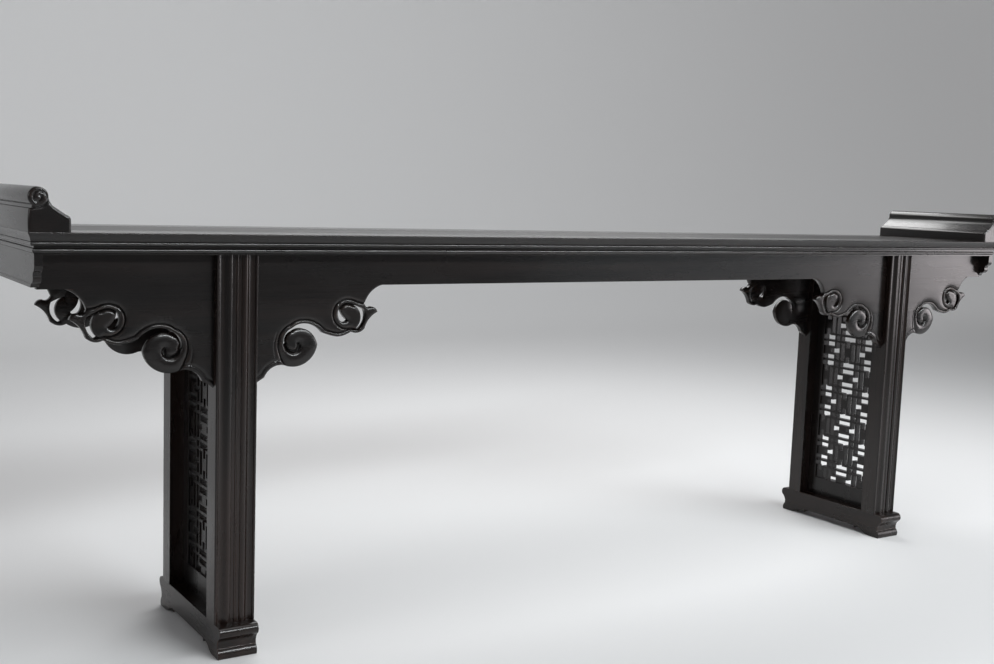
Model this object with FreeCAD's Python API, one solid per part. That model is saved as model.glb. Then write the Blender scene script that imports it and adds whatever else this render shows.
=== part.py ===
"""Recessed-leg altar table with everted ends, in dark hardwood.

Millimetres, +Z up, +X along the length, -Y is the front.
The origin is on the floor, under the middle of the table.
Every joint is a wooden one: mitred frame, bridle slots, tongues, tenons and housings.
"""
import FreeCAD
import Part
import math
import os

# Overall sizes
table_length = 2911.0
board_depth = 406.0
board_height = 900.0
board_thickness = 44.0
leg_overhang = 420.5

# Fits
joint_clearance = 0.15
tenon_end_gap = 0.6
cut_overrun = 6.0

# Moulded edge of the board frame
rail_width = 84.0
top_edge_round = 2.0
fascia_height = 18.0
fascia_lean = 6.0
fascia_hollow = 1.2
upper_bead_radius = 4.25
upper_bead_inset = 9.75
quirk_height = 4.0
quirk_inset = 13.0
lower_bead_radius = 5.25
lower_bead_inset = 15.25
underside_inset = 13.5

# Mitre tenons, from the long rails into the end rails
mitre_tenon_length = 42.0
mitre_tenon_width = 24.0
mitre_tenon_thickness = 12.0
mitre_tenon_shoulder = 8.0
mitre_tenon_drop = 18.0

# Floating panel and the battens under it
panel_thickness = 14.0
panel_tongue_thickness = 6.0
panel_tongue_length = 8.0
panel_side_gap = 0.4
batten_count = 5
batten_width = 36.0
batten_height = 26.0
batten_tenon_length = 14.0
batten_tenon_thickness = 12.0
batten_end_margin = 330.0

# Everted flanges
flange_width = 78.0
flange_setback = 1.5
flange_bulge = 1.3
flange_neck_height = 43.0
flange_neck_cut = 5.0
roll_radius = 19.0
roll_centre_in = 20.0
roll_centre_height = 65.5
roll_start_angle = -125.0
roll_end_angle = 10.0
flange_slope_height = 47.0
flange_slope_in = 50.0
flange_slope_sag = 3.5
flange_shoulder_height = 24.0
flange_shoulder_round = 9.0
flange_tenon_count = 3
flange_tenon_length = 46.0
flange_tenon_width = 24.0
flange_tenon_height = 14.0
flange_tenon_spacing = 105.0

# Aprons
apron_height = 68.0
apron_thickness = 16.0
apron_setback = 19.0
apron_housing_depth = 5.0

# End boards with cusped corners
end_board_height = 64.0
end_board_thickness = 16.0
end_board_setback = 12.0
cusp_straight_height = 18.0
cusp_nose_height = 13.0
cusp_nose_in = 6.0
cusp_second_drop = 42.0
cusp_second_in = 13.0
cusp_second_nose = 3.0
cusp_second_end_drop = 55.0
cusp_second_end_in = 21.0
cusp_total_in = 34.0
cusp_hollow = 3.0
end_line_height = 7.0
end_line_width = 2.4
end_line_depth = 1.2

# Cloud-scroll spandrels
spandrel_reach = 300.0
spandrel_drop = 210.0
spandrel_tab = 8.0
spandrel_tongue_thickness = 5.0
spandrel_tongue_height = 6.0
spandrel_tongue_start = 16.0
spandrel_tongue_end = 40.0

# Large volute: the slit that winds into it, and its round body
large_volute_shares = (0.31, 0.572)
large_volute_radius = 56.0
slit_mouth_outer_radius = 66.0
slit_mouth_inner_radius = 53.5
slit_waist_outer_radius = 30.0
slit_waist_inner_radius = 22.5
slit_end_outer_radius = 26.5
slit_end_inner_radius = 21.0
slit_mouth_outer_angle = 15.0
slit_mouth_inner_angle = -9.0
slit_waist_angle = 105.0
slit_end_angle = 190.0
body_end_angle = -113.0

slit_mouth_steps = 5
slit_steps = 4
body_steps = 5
cloud_steps = 3

# Small volute: points of the crescent opening round it and of the comma in its middle
crescent_outer_shares = [(0.807, 0.469), (0.857, 0.39), (0.857, 0.262)]
crescent_inner_shares = [(0.812, 0.23), (0.763, 0.205), (0.826, 0.324), (0.79, 0.455)]
comma_outer_shares = [(0.66, 0.219), (0.643, 0.29), (0.66, 0.369), (0.69, 0.39), (0.723, 0.369)]
comma_inner_shares = [(0.684, 0.314), (0.66, 0.219)]
crescent_steps = 4

# Points of the spandrel's edge, as shares of its reach and of its drop
hollow_shares = [(0.905, 0.078), (0.857, 0.195)]
hook_shares = [(0.876, 0.235), (0.915, 0.233)]
curl_shares = [(0.95, 0.251), (0.966, 0.29)]
notch_shares = [(0.905, 0.352), (0.862, 0.462)]
lobe_shares = [(0.815, 0.503), (0.75, 0.49)]
ribbon_shares = [(0.69, 0.529), (0.637, 0.538)]
ribbon_rise_shares = [(0.585, 0.522)]
scallop_shares = [(0.137, 0.833), (0.077, 0.93), (0.05, 0.952), (0.0, 1.0)]

# Legs
leg_width = 90.0
leg_depth = 50.5
leg_setback = 27.0
edge_bead_radius = 3.0
edge_bead_drop = 4.0
cove_depth = 6.5
cove_lip = 3.0
twin_bead_centre = 16.5
twin_bead_half_width = 6.5
hollow_depth = 4.6
centre_bead_half_width = 2.2
centre_bead_rise = 1.6
leg_tenon_width = 50.0
leg_tenon_margin = 2.5
leg_tenon_height = 24.0
foot_tenon_width = 52.0
foot_tenon_thickness = 24.0
foot_tenon_length = 40.0

# Shoe feet, one beam under each pair of legs
foot_projection = 29.0
foot_width = 87.0
foot_height = 70.5
foot_roll_rise = 23.0
foot_roll_in = 13.0
foot_roll_lower_in = 5.0
foot_waist_height = 30.0
foot_waist_in = 16.0
foot_toe_height = 22.0
foot_toe_in = 9.0
foot_toe_base_in = 10.0
foot_pad_length = 48.0
foot_arch_height = 18.0
foot_arch_start = 107.0
foot_cusp_drop = 7.0
foot_cusp_width = 8.0
foot_ogee_share = 0.52

# Lattice panels between the legs
side_frame_thickness = 24.0
side_rail_bottom_height = 55.25
side_rail_top_gap = 16.0
side_rail_least_height = 30.0
side_rail_tenon_length = 12.0
side_rail_tenon_thickness = 10.0
side_rail_tenon_margin = 8.0
plinth_height = 13.5
plinth_depth = 3.0
stile_tenon_length = 9.0
stile_tenon_width = 16.0
stile_tenon_thickness = 8.0
side_stile_width = 30.5
lattice_bar = 6.5
lattice_thickness = 16.0
lattice_edge_in_groove = 4.5
cell_pitch_count = 4
half_width_pitch_count = 4.5

# Places worked out from the sizes above
half_length = table_length / 2
half_depth = board_depth / 2
underside = board_height - board_thickness
panel_underside = board_height - panel_thickness
end_board_outer = half_length - underside_inset
end_board_inner = end_board_outer - end_board_thickness
leg_x = half_length - leg_overhang
leg_front = half_depth - leg_setback
leg_back = leg_front - leg_depth
apron_front = leg_front - apron_setback
apron_back = apron_front - apron_thickness
apron_bottom = underside - apron_height
foot_half = leg_front + foot_projection
opening_bottom = foot_height + side_rail_bottom_height
opening_half_width = leg_back - side_stile_width
lattice_pitch = (opening_half_width - lattice_bar / 2) / half_width_pitch_count
slot_height = lattice_pitch - lattice_bar
cell_size = cell_pitch_count * lattice_pitch
side_frame_top = underside - side_rail_top_gap
cell_room = side_frame_top - side_rail_least_height - opening_bottom - slot_height
cells_up = int(cell_room / cell_size)
opening_top = opening_bottom + cells_up * cell_size + slot_height

EAST = FreeCAD.Vector(1, 0, 0)
NORTH = FreeCAD.Vector(0, 1, 0)
UP = FreeCAD.Vector(0, 0, 1)
ORIGIN = FreeCAD.Vector(0, 0, 0)


def vec(x, y, z):
    return FreeCAD.Vector(x, y, z)


def box(x_range, y_range, z_range):
    """Box between two corners, each range as (low, high)."""
    size = [high - low for low, high in (x_range, y_range, z_range)]
    corner = vec(x_range[0], y_range[0], z_range[0])
    return Part.makeBox(*size, corner)


def grown(span, amount):
    """The span made longer by the amount at both ends."""
    return (span[0] - amount, span[1] + amount)


def line(start, end):
    return Part.makeLine(start, end)


def arc(start, middle, end):
    return Part.Arc(start, middle, end).toShape()


def bulged(start, end, height):
    """Arc from start to end whose middle stands off the chord by height, to its left in the plane."""
    chord = end - start
    normal = vec(-chord.y, chord.x, 0).normalize()
    return arc(start, (start + end) / 2 + normal * height, end)


def mirrored_point(point):
    return vec(-point.x, point.y, point.z)


def flat_face(edges):
    return Part.Face(Part.Wire(edges))


def standing(face_in_plan, origin, across, upward):
    """Move a face drawn in X and Y so that X lies along across and Y along upward."""
    normal = across.cross(upward)
    placement = FreeCAD.Placement(origin, FreeCAD.Rotation(across, upward, normal, "XYZ"))
    turned = face_in_plan.copy()
    turned.Placement = placement
    return turned


def mirrored_x(shape):
    return shape.mirror(ORIGIN, EAST)


def mirrored_y(shape):
    return shape.mirror(ORIGIN, NORTH)


def save(name, shape):
    """Write one node after checking that it is sound."""
    clean = shape.removeSplitter()
    if not clean.isValid():
        clean = shape
    clean.exportStep(os.path.join("parts", name + ".step"))
    print(name, "solids", len(clean.Solids), "valid", clean.isValid())


def board_edge_section():
    """Section of a frame rail: X is measured inward from the outer edge, Y down from the top."""
    bead_one_top = fascia_height
    bead_one_end = bead_one_top + 2 * upper_bead_radius
    bead_two_top = bead_one_end + quirk_height
    bead_two_end = bead_two_top + 2 * lower_bead_radius
    round_start = vec(top_edge_round, 0, 0)
    fascia_top = vec(0, -top_edge_round, 0)
    fascia_end = vec(fascia_lean, -fascia_height, 0)
    bead_one_high = vec(upper_bead_inset, -bead_one_top, 0)
    bead_one_nose = vec(upper_bead_inset - upper_bead_radius, -bead_one_top - upper_bead_radius, 0)
    bead_one_low = vec(upper_bead_inset, -bead_one_end, 0)
    bead_two_high = vec(lower_bead_inset, -bead_two_top, 0)
    bead_two_nose = vec(lower_bead_inset - lower_bead_radius, -bead_two_top - lower_bead_radius, 0)
    bead_two_low = vec(lower_bead_inset, -bead_two_end, 0)
    corner = top_edge_round * (1 - math.sqrt(0.5))
    edges = [
        arc(round_start, vec(corner, -corner, 0), fascia_top),
        bulged(fascia_top, fascia_end, fascia_hollow),
        line(fascia_end, bead_one_high),
        arc(bead_one_high, bead_one_nose, bead_one_low),
        line(bead_one_low, vec(quirk_inset, -bead_one_end, 0)),
        line(vec(quirk_inset, -bead_one_end, 0), vec(quirk_inset, -bead_two_top, 0)),
        line(vec(quirk_inset, -bead_two_top, 0), bead_two_high),
        arc(bead_two_high, bead_two_nose, bead_two_low),
        line(bead_two_low, vec(underside_inset, -bead_two_end, 0)),
        line(vec(underside_inset, -bead_two_end, 0), vec(underside_inset, -board_thickness, 0)),
        line(vec(underside_inset, -board_thickness, 0), vec(rail_width, -board_thickness, 0)),
        line(vec(rail_width, -board_thickness, 0), vec(rail_width, 0, 0)),
        line(vec(rail_width, 0, 0), round_start),
    ]
    return flat_face(edges)


def end_prism():
    """Tall prism over the trapezium that an end rail fills between the two mitres."""
    tip = half_depth + cut_overrun
    outer = half_length + cut_overrun
    inner = half_length - rail_width
    points = [
        vec(outer, -tip, 0),
        vec(outer, tip, 0),
        vec(inner, half_depth - rail_width, 0),
        vec(inner, rail_width - half_depth, 0),
    ]
    outline = Part.makePolygon(points + points[:1])
    prism = Part.Face(outline).extrude(UP * (board_thickness + 2 * cut_overrun))
    prism.translate(UP * (underside - cut_overrun))
    return prism


def panel_groove():
    """What the panel's tongue needs, cut from all four rails."""
    reach_x = half_length - rail_width + panel_tongue_length + tenon_end_gap
    reach_y = half_depth - rail_width + panel_tongue_length + tenon_end_gap
    low = panel_underside - joint_clearance
    high = panel_underside + panel_tongue_thickness + joint_clearance
    return box((-reach_x, reach_x), (-reach_y, reach_y), (low, high))


def mitre_tenon(clearance, end_gap):
    """Tenon at the right end of the rear rail."""
    start_y = half_depth - rail_width + mitre_tenon_shoulder
    start_x = half_length - rail_width
    high = board_height - mitre_tenon_drop
    span_x = (start_x, start_x + mitre_tenon_length + end_gap)
    span_y = grown((start_y, start_y + mitre_tenon_width), clearance)
    span_z = grown((high - mitre_tenon_thickness, high), clearance)
    return box(span_x, span_y, span_z)


def batten_places():
    """Middle of each batten along the table."""
    run = table_length - 2 * batten_end_margin
    step = run / (batten_count - 1)
    return [-run / 2 + step * number for number in range(batten_count)]


def batten(place, clearance, end_gap):
    """One batten with its tenons, at its place along the table."""
    inside = half_depth - rail_width
    low = panel_underside - batten_height
    middle = panel_underside - batten_height / 2
    span_x = (place - batten_width / 2, place + batten_width / 2)
    bar = box(span_x, (-inside, inside), (low, panel_underside))
    tenon_z = (middle - batten_tenon_thickness / 2, middle + batten_tenon_thickness / 2)
    reach = inside + batten_tenon_length + end_gap
    shoulder = batten_width / 5
    tenon_x = grown((span_x[0] + shoulder, span_x[1] - shoulder), clearance)
    tenon = box(tenon_x, (-reach, reach), grown(tenon_z, clearance))
    return bar.fuse(tenon)


def leg_top_tenons(clearance, end_gap):
    """The two tenons over the cheeks of the rear right leg."""
    span_x = grown((leg_x - leg_tenon_width / 2, leg_x + leg_tenon_width / 2), clearance)
    span_z = (underside - leg_tenon_margin, underside + leg_tenon_height + end_gap)
    outer_deep = edge_bead_drop + cove_depth
    outer = (apron_front + leg_tenon_margin, leg_front - outer_deep)
    inner = (leg_back + leg_tenon_margin, apron_back - leg_tenon_margin)
    return [box(span_x, grown(span_y, clearance), span_z) for span_y in (outer, inner)]


def flange_tenons(clearance, end_gap):
    """Stub tenons under the right flange."""
    middle = half_length - flange_setback - flange_width / 2
    span_x = grown((middle - flange_tenon_width / 2, middle + flange_tenon_width / 2), clearance)
    span_z = (board_height - flange_tenon_height - end_gap, board_height)
    first = -(flange_tenon_count - 1) / 2
    places = [flange_tenon_spacing * (first + number) for number in range(flange_tenon_count)]
    half = flange_tenon_length / 2
    return [box(span_x, grown((place - half, place + half), clearance), span_z) for place in places]


def make_board():
    """Mitred frame, floating panel and battens."""
    section = board_edge_section()
    long_section = standing(section, vec(-half_length, half_depth, board_height), -NORTH, UP)
    long_rail = long_section.extrude(EAST * table_length)
    end_section = standing(section, vec(half_length, -half_depth, board_height), -EAST, UP)
    end_rail = end_section.extrude(NORTH * board_depth)
    end_block = end_prism()
    groove = panel_groove()

    rear_tenon = mitre_tenon(0, 0)
    tenons = [rear_tenon, mirrored_x(rear_tenon)]
    long_rail = long_rail.cut([end_block, mirrored_x(end_block), groove]).fuse(tenons)
    sockets = [batten(place, joint_clearance, tenon_end_gap) for place in batten_places()]
    leg_sockets = leg_top_tenons(joint_clearance, tenon_end_gap)
    leg_sockets += [mirrored_x(socket) for socket in leg_sockets]
    long_rail = long_rail.cut(sockets + leg_sockets)
    save("top_rear_rail", long_rail)
    save("top_front_rail", mirrored_y(long_rail))

    rear_socket = mitre_tenon(joint_clearance, tenon_end_gap)
    end_sockets = [rear_socket, mirrored_y(rear_socket), groove]
    end_rail = end_rail.common(end_block).cut(end_sockets + flange_tenons(joint_clearance, tenon_end_gap))
    save("top_end_rail_right", end_rail)
    save("top_end_rail_left", mirrored_x(end_rail))

    inside_x = half_length - rail_width
    inside_y = half_depth - rail_width
    span_x = grown((-inside_x, inside_x), -panel_side_gap)
    span_y = grown((-inside_y, inside_y), -panel_side_gap)
    field = box(span_x, span_y, (panel_underside, board_height))
    tongue_x = grown((-inside_x, inside_x), panel_tongue_length)
    tongue_y = grown((-inside_y, inside_y), panel_tongue_length)
    tongue = box(tongue_x, tongue_y, (panel_underside, panel_underside + panel_tongue_thickness))
    save("top_panel", field.fuse(tongue))
    for number, place in enumerate(batten_places(), 1):
        save("top_batten_%d" % number, batten(place, 0, 0))


def flange_section():
    """Section of the right flange: X inward from the board's outer edge, Y up from the board."""
    def on_roll(angle):
        turn = math.radians(angle)
        across = roll_centre_in + roll_radius * math.cos(turn)
        return vec(across, roll_centre_height + roll_radius * math.sin(turn), 0)

    inner = flange_setback + flange_width
    base = vec(flange_setback, 0, 0)
    neck = vec(flange_setback + flange_bulge, flange_neck_height, 0)
    notch = vec(neck.x + flange_neck_cut, flange_neck_height + flange_bulge, 0)
    roll_start = on_roll(roll_start_angle)
    roll_end = on_roll(roll_end_angle)
    slope_end = vec(flange_slope_in, flange_slope_height, 0)
    shoulder_low = vec(inner, flange_shoulder_height, 0)
    shoulder_high = vec(inner - flange_shoulder_round, flange_shoulder_height + flange_shoulder_round, 0)
    turn_half = (roll_start_angle + roll_end_angle - 360) / 2
    edges = [
        bulged(base, neck, flange_bulge),
        line(neck, notch),
        line(notch, roll_start),
        arc(roll_start, on_roll(turn_half), roll_end),
        bulged(roll_end, slope_end, -flange_slope_sag),
        line(slope_end, shoulder_high),
        bulged(shoulder_high, shoulder_low, flange_shoulder_round / 5),
        line(shoulder_low, vec(inner, 0, 0)),
        line(vec(inner, 0, 0), base),
    ]
    return flat_face(edges)


def make_flanges():
    section = standing(flange_section(), vec(half_length, -half_depth, board_height), -EAST, UP)
    flange = section.extrude(NORTH * board_depth).fuse(flange_tenons(0, 0))
    save("flange_right", flange)
    save("flange_left", mirrored_x(flange))


def make_aprons():
    """Long aprons, grooved below for the spandrels."""
    half = end_board_inner + apron_housing_depth
    apron = box((-half, half), (apron_back, apron_front), (apron_bottom, underside))
    grooves = []
    for side in (-1, 1):
        for way in (-1, 1):
            grooves.append(spandrel_tongue(side, way, joint_clearance))
    apron = apron.cut(grooves)
    save("apron_rear", apron)
    save("apron_front", mirrored_y(apron))


def spandrel_tongue(side, way, clearance):
    """Tongue on top of a rear spandrel: side picks the leg, way picks inward or outward."""
    middle = (apron_front + apron_back) / 2
    half = spandrel_tongue_thickness / 2
    face = leg_width / 2
    near = face + spandrel_tongue_start
    far = face + spandrel_reach - spandrel_tongue_end
    ends = sorted((side * leg_x + way * near, side * leg_x + way * far))
    span_x = grown(ends, clearance)
    span_y = grown((middle - half, middle + half), clearance)
    span_z = grown((apron_bottom, apron_bottom + spandrel_tongue_height), clearance)
    return box(span_x, span_y, span_z)


def spiral(centre, radii, angles, steps):
    """Points along a spiral that shrinks by the same share at each step."""
    points = []
    for step in range(steps + 1):
        share = step / steps
        turn = math.radians(angles[0] + (angles[1] - angles[0]) * share)
        radius = radii[0] * (radii[1] / radii[0]) ** share
        points.append(centre + vec(math.cos(turn), math.sin(turn), 0) * radius)
    return points


def arcs_through(points, steps):
    """Points along one arc through each three points in turn."""
    chain = []
    for number in range(0, len(points) - 2, 2):
        edge = arc(*points[number:number + 3])
        chain += edge.discretize(steps + 1)[:-1]
    return chain + points[-1:]


def filled(points):
    """Face inside a closed run of points."""
    return Part.Face(Part.makePolygon(points + points[:1]))


def placed(*shares):
    """Points of the spandrel from their shares: X runs out from the leg's side, Y is negative downward."""
    return [vec(out * spandrel_reach, -down * spandrel_drop, 0) for out, down in shares]


def slit_side(centre, mouth, waist, end):
    """One side of the large slit, which closes fast to its waist and then keeps round the volute."""
    entry = spiral(centre, (mouth[0], waist), (mouth[1], slit_waist_angle), slit_mouth_steps)
    return entry[:-1] + spiral(centre, (waist, end), (slit_waist_angle, slit_end_angle), slit_steps)


def spandrel_face():
    """Cloud-scroll outline."""
    centre = placed(large_volute_shares)[0]
    mouth = (slit_mouth_outer_radius, slit_mouth_outer_angle)
    slit_outer = slit_side(centre, mouth, slit_waist_outer_radius, slit_end_outer_radius)
    mouth = (slit_mouth_inner_radius, slit_mouth_inner_angle)
    slit_inner = slit_side(centre, mouth, slit_waist_inner_radius, slit_end_inner_radius)[::-1]
    body = spiral(
        centre, (slit_mouth_inner_radius, large_volute_radius),
        (slit_mouth_inner_angle, body_end_angle), body_steps)
    corner = vec(spandrel_reach, 0, 0)
    cloud_shares = hollow_shares + hook_shares + curl_shares + notch_shares + lobe_shares
    cloud_shares += ribbon_shares + ribbon_rise_shares
    cloud = arcs_through([corner] + placed(*cloud_shares) + slit_outer[:1], cloud_steps)
    scallops = arcs_through(body[-1:] + placed(*scallop_shares), cloud_steps)
    tab = [vec(-spandrel_tab, -spandrel_drop, 0), vec(-spandrel_tab, 0, 0)]
    return filled(cloud + slit_outer[1:] + slit_inner + body[1:] + scallops[1:] + tab)


def volute_openings():
    """Crescent and comma cut through the small volute."""
    crescent = arcs_through(placed(*crescent_outer_shares, *crescent_inner_shares), crescent_steps)
    comma = arcs_through(placed(*comma_outer_shares, *comma_inner_shares), cloud_steps)
    return [filled(crescent), filled(comma[:-1])]


def make_spandrels():
    face = spandrel_face().cut(volute_openings())
    plate = face.extrude(UP * apron_thickness)
    origin = vec(leg_x + leg_width / 2, apron_front, apron_bottom)
    outward = standing(plate, origin, EAST, UP)
    outward = outward.fuse(spandrel_tongue(1, 1, 0))
    inward = outward.mirror(vec(leg_x, 0, 0), EAST)
    for name, shape in (("outer", outward), ("inner", inward)):
        save("spandrel_rear_right_" + name, shape)
        save("spandrel_rear_left_" + name, mirrored_x(shape))
        save("spandrel_front_right_" + name, mirrored_y(shape))
        save("spandrel_front_left_" + name, mirrored_x(mirrored_y(shape)))


def end_board_face():
    """Outline of half an end board: X out from the middle, Y down from the underside."""
    tip = half_depth - end_board_setback
    straight = vec(tip, -cusp_straight_height, 0)
    nose_end = vec(tip - cusp_nose_in, -cusp_straight_height - cusp_nose_height, 0)
    second = vec(tip - cusp_second_in, -cusp_second_drop, 0)
    second_end = vec(tip - cusp_second_end_in, -cusp_second_end_drop, 0)
    bottom = vec(tip - cusp_total_in, -end_board_height, 0)
    edges = [
        line(vec(0, 0, 0), vec(tip, 0, 0)),
        line(vec(tip, 0, 0), straight),
        bulged(straight, nose_end, cusp_nose_in / 3),
        bulged(nose_end, second, -cusp_hollow),
        bulged(second, second_end, cusp_second_nose),
        bulged(second_end, bottom, -cusp_hollow),
        line(bottom, vec(0, -end_board_height, 0)),
        line(vec(0, -end_board_height, 0), vec(0, 0, 0)),
    ]
    return flat_face(edges)


def make_end_boards():
    """End boards between the two aprons, housed for the aprons' ends."""
    half = standing(end_board_face(), vec(end_board_inner, 0, underside), NORTH, UP)
    half = half.extrude(EAST * end_board_thickness)
    board = half.fuse(mirrored_y(half))
    housing = box(
        (end_board_inner - cut_overrun, end_board_inner + apron_housing_depth + joint_clearance),
        grown((apron_back, apron_front), joint_clearance),
        (apron_bottom - cut_overrun, underside + cut_overrun))
    run = half_depth - end_board_setback - cusp_total_in
    lowest = underside - end_board_height + end_line_height
    incised = box(
        (end_board_outer - end_line_depth, end_board_outer + cut_overrun),
        (-run, run),
        (lowest, lowest + end_line_width))
    board = board.cut([housing, mirrored_y(housing), incised])
    save("end_board_right", board)
    save("end_board_left", mirrored_x(board))


def leg_section():
    """Section of a rear leg: X across, Y outward from the leg's back, moulded on the outer face."""
    half = leg_width / 2
    edge_in = half - 2 * edge_bead_radius
    edge_level = leg_depth - edge_bead_drop
    bead_out = twin_bead_centre + twin_bead_half_width
    bead_in = twin_bead_centre - twin_bead_half_width
    lip = leg_depth - cove_lip
    floor = leg_depth - hollow_depth
    cove_middle = (edge_in + bead_out) / 2
    right = [
        line(vec(half, 0, 0), vec(half, edge_level, 0)),
        arc(vec(half, edge_level, 0), vec(half - edge_bead_radius, edge_level + edge_bead_radius, 0),
            vec(edge_in, edge_level, 0)),
        arc(vec(edge_in, edge_level, 0), vec(cove_middle, leg_depth - cove_depth, 0), vec(bead_out, lip, 0)),
        arc(vec(bead_out, lip, 0), vec(twin_bead_centre, leg_depth, 0), vec(bead_in, lip, 0)),
        line(vec(bead_in, lip, 0), vec(bead_in, floor, 0)),
        line(vec(bead_in, floor, 0), vec(centre_bead_half_width, floor, 0)),
    ]
    left = [edge.mirror(ORIGIN, EAST) for edge in right]
    bead_side = vec(centre_bead_half_width, floor, 0)
    middle = bulged(bead_side, mirrored_point(bead_side), -centre_bead_rise)
    base = line(vec(-half, 0, 0), vec(half, 0, 0))
    return Part.Face(Part.Wire(Part.__sortEdges__(right + [middle] + left + [base])))


def foot_tenon(clearance, end_gap):
    """Tenon under the rear right leg."""
    middle = (leg_front + leg_back) / 2
    span_x = grown((leg_x - foot_tenon_width / 2, leg_x + foot_tenon_width / 2), clearance)
    span_y = grown((middle - foot_tenon_thickness / 2, middle + foot_tenon_thickness / 2), clearance)
    return box(span_x, span_y, (foot_height - foot_tenon_length - end_gap, foot_height + cut_overrun))


def side_rail(low, high, tenon_gap, clearance):
    """Rail between the right pair of legs, with a tenon at each end."""
    half = side_frame_thickness / 2
    bar = box((leg_x - half, leg_x + half), (-leg_back, leg_back), (low, high))
    reach = leg_back + side_rail_tenon_length + tenon_gap
    thin = side_rail_tenon_thickness / 2
    span_x = grown((leg_x - thin, leg_x + thin), clearance)
    span_z = grown((low + side_rail_tenon_margin, high - side_rail_tenon_margin), clearance)
    return bar, box(span_x, (-reach, reach), span_z)


def side_rail_spans():
    """Heights of the lower and upper side rails."""
    return {
        "bottom": (foot_height, opening_bottom),
        "top": (opening_top, side_frame_top),
    }


def make_legs():
    """Moulded leg with its bridle slot, side grooves and tenons."""
    section = leg_section()
    section.translate(vec(leg_x, leg_back, foot_height))
    leg = section.extrude(UP * (underside - foot_height))
    leg = leg.fuse(leg_top_tenons(0, 0) + [foot_tenon(0, 0)])
    slot_y = grown((apron_back, apron_front), joint_clearance)
    half = leg_width / 2
    through = grown((leg_x - half, leg_x + half), cut_overrun)
    bridle = box(through, slot_y, (apron_bottom, underside + leg_tenon_height + cut_overrun))
    groove_low = apron_bottom - spandrel_drop - joint_clearance
    groove_depth = spandrel_tab + joint_clearance
    grooves = []
    for low, high in ((-half - cut_overrun, groove_depth - half), (half - groove_depth, half + cut_overrun)):
        grooves.append(box((leg_x + low, leg_x + high), slot_y, (groove_low, apron_bottom + cut_overrun)))
    mortises = []
    for low, high in side_rail_spans().values():
        mortises.append(side_rail(low, high, tenon_end_gap, joint_clearance)[1])
    leg = leg.cut([bridle] + grooves + mortises)
    save("leg_rear_right", leg)
    save("leg_rear_left", mirrored_x(leg))
    save("leg_front_right", mirrored_y(leg))
    save("leg_front_left", mirrored_x(mirrored_y(leg)))


def foot_face():
    """Half the side of a shoe foot: X out from the middle, Y up from the floor."""
    roll_top = vec(foot_half - foot_roll_in, foot_height, 0)
    roll_low = vec(foot_half - foot_roll_lower_in, foot_height - foot_roll_rise, 0)
    roll_out = vec(foot_half, foot_height - foot_roll_rise / 2, 0)
    waist = vec(foot_half - foot_waist_in, foot_waist_height, 0)
    toe_top = vec(foot_half - foot_waist_in, foot_toe_height, 0)
    toe_out = vec(foot_half - foot_toe_in, foot_toe_height / 2, 0)
    toe_base = vec(foot_half - foot_toe_base_in, 0, 0)
    pad_in = vec(foot_half - foot_pad_length, 0, 0)
    arch_start = vec(foot_arch_start, foot_arch_height, 0)
    arch_end = vec(foot_arch_start - foot_cusp_width, foot_arch_height, 0)
    cusp = vec(foot_arch_start - foot_cusp_width / 2, foot_arch_height - foot_cusp_drop, 0)
    run = pad_in.x - arch_start.x
    ogee_middle = vec(arch_start.x + run * foot_ogee_share, foot_arch_height * foot_ogee_share, 0)
    edges = [
        line(vec(0, foot_height, 0), roll_top),
        arc(roll_top, roll_out, roll_low),
        bulged(roll_low, waist, -foot_waist_in / 8),
        line(waist, toe_top),
        arc(toe_top, toe_out, toe_base),
        line(toe_base, pad_in),
        bulged(pad_in, ogee_middle, foot_cusp_width / 4),
        bulged(ogee_middle, arch_start, -foot_cusp_width / 4),
        line(arch_start, cusp),
        line(cusp, arch_end),
        line(arch_end, vec(0, foot_arch_height, 0)),
        line(vec(0, foot_arch_height, 0), vec(0, foot_height, 0)),
    ]
    return flat_face(edges)


def make_feet():
    half = standing(foot_face(), vec(leg_x - foot_width / 2, 0, 0), NORTH, UP)
    half = half.extrude(EAST * foot_width)
    foot = half.fuse(mirrored_y(half))
    socket = foot_tenon(joint_clearance, tenon_end_gap)
    foot = foot.cut([socket, mirrored_y(socket)])
    save("foot_right", foot)
    save("foot_left", mirrored_x(foot))


def lattice_groove(clearance):
    """Plate that the lattice fills, with its edge inside the grooves of the frame."""
    half = lattice_thickness / 2
    span_x = grown((leg_x - half, leg_x + half), clearance)
    reach = opening_half_width + lattice_edge_in_groove
    span_y = grown((-reach, reach), clearance)
    span_z = grown((opening_bottom - lattice_edge_in_groove, opening_top + lattice_edge_in_groove), clearance)
    return box(span_x, span_y, span_z)


def stile(clearance, end_gap):
    """Rear stile of the right lattice frame, and its two stub tenons."""
    half = side_frame_thickness / 2
    span_y = (opening_half_width, leg_back)
    bar = box((leg_x - half, leg_x + half), span_y, (opening_bottom, opening_top))
    middle = (opening_half_width + leg_back) / 2
    thin = stile_tenon_thickness / 2
    wide = stile_tenon_width / 2
    reach = stile_tenon_length + end_gap
    tenon = box(
        grown((leg_x - thin, leg_x + thin), clearance),
        grown((middle - wide, middle + wide), clearance),
        (opening_bottom - reach, opening_top + reach))
    return bar, tenon


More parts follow.
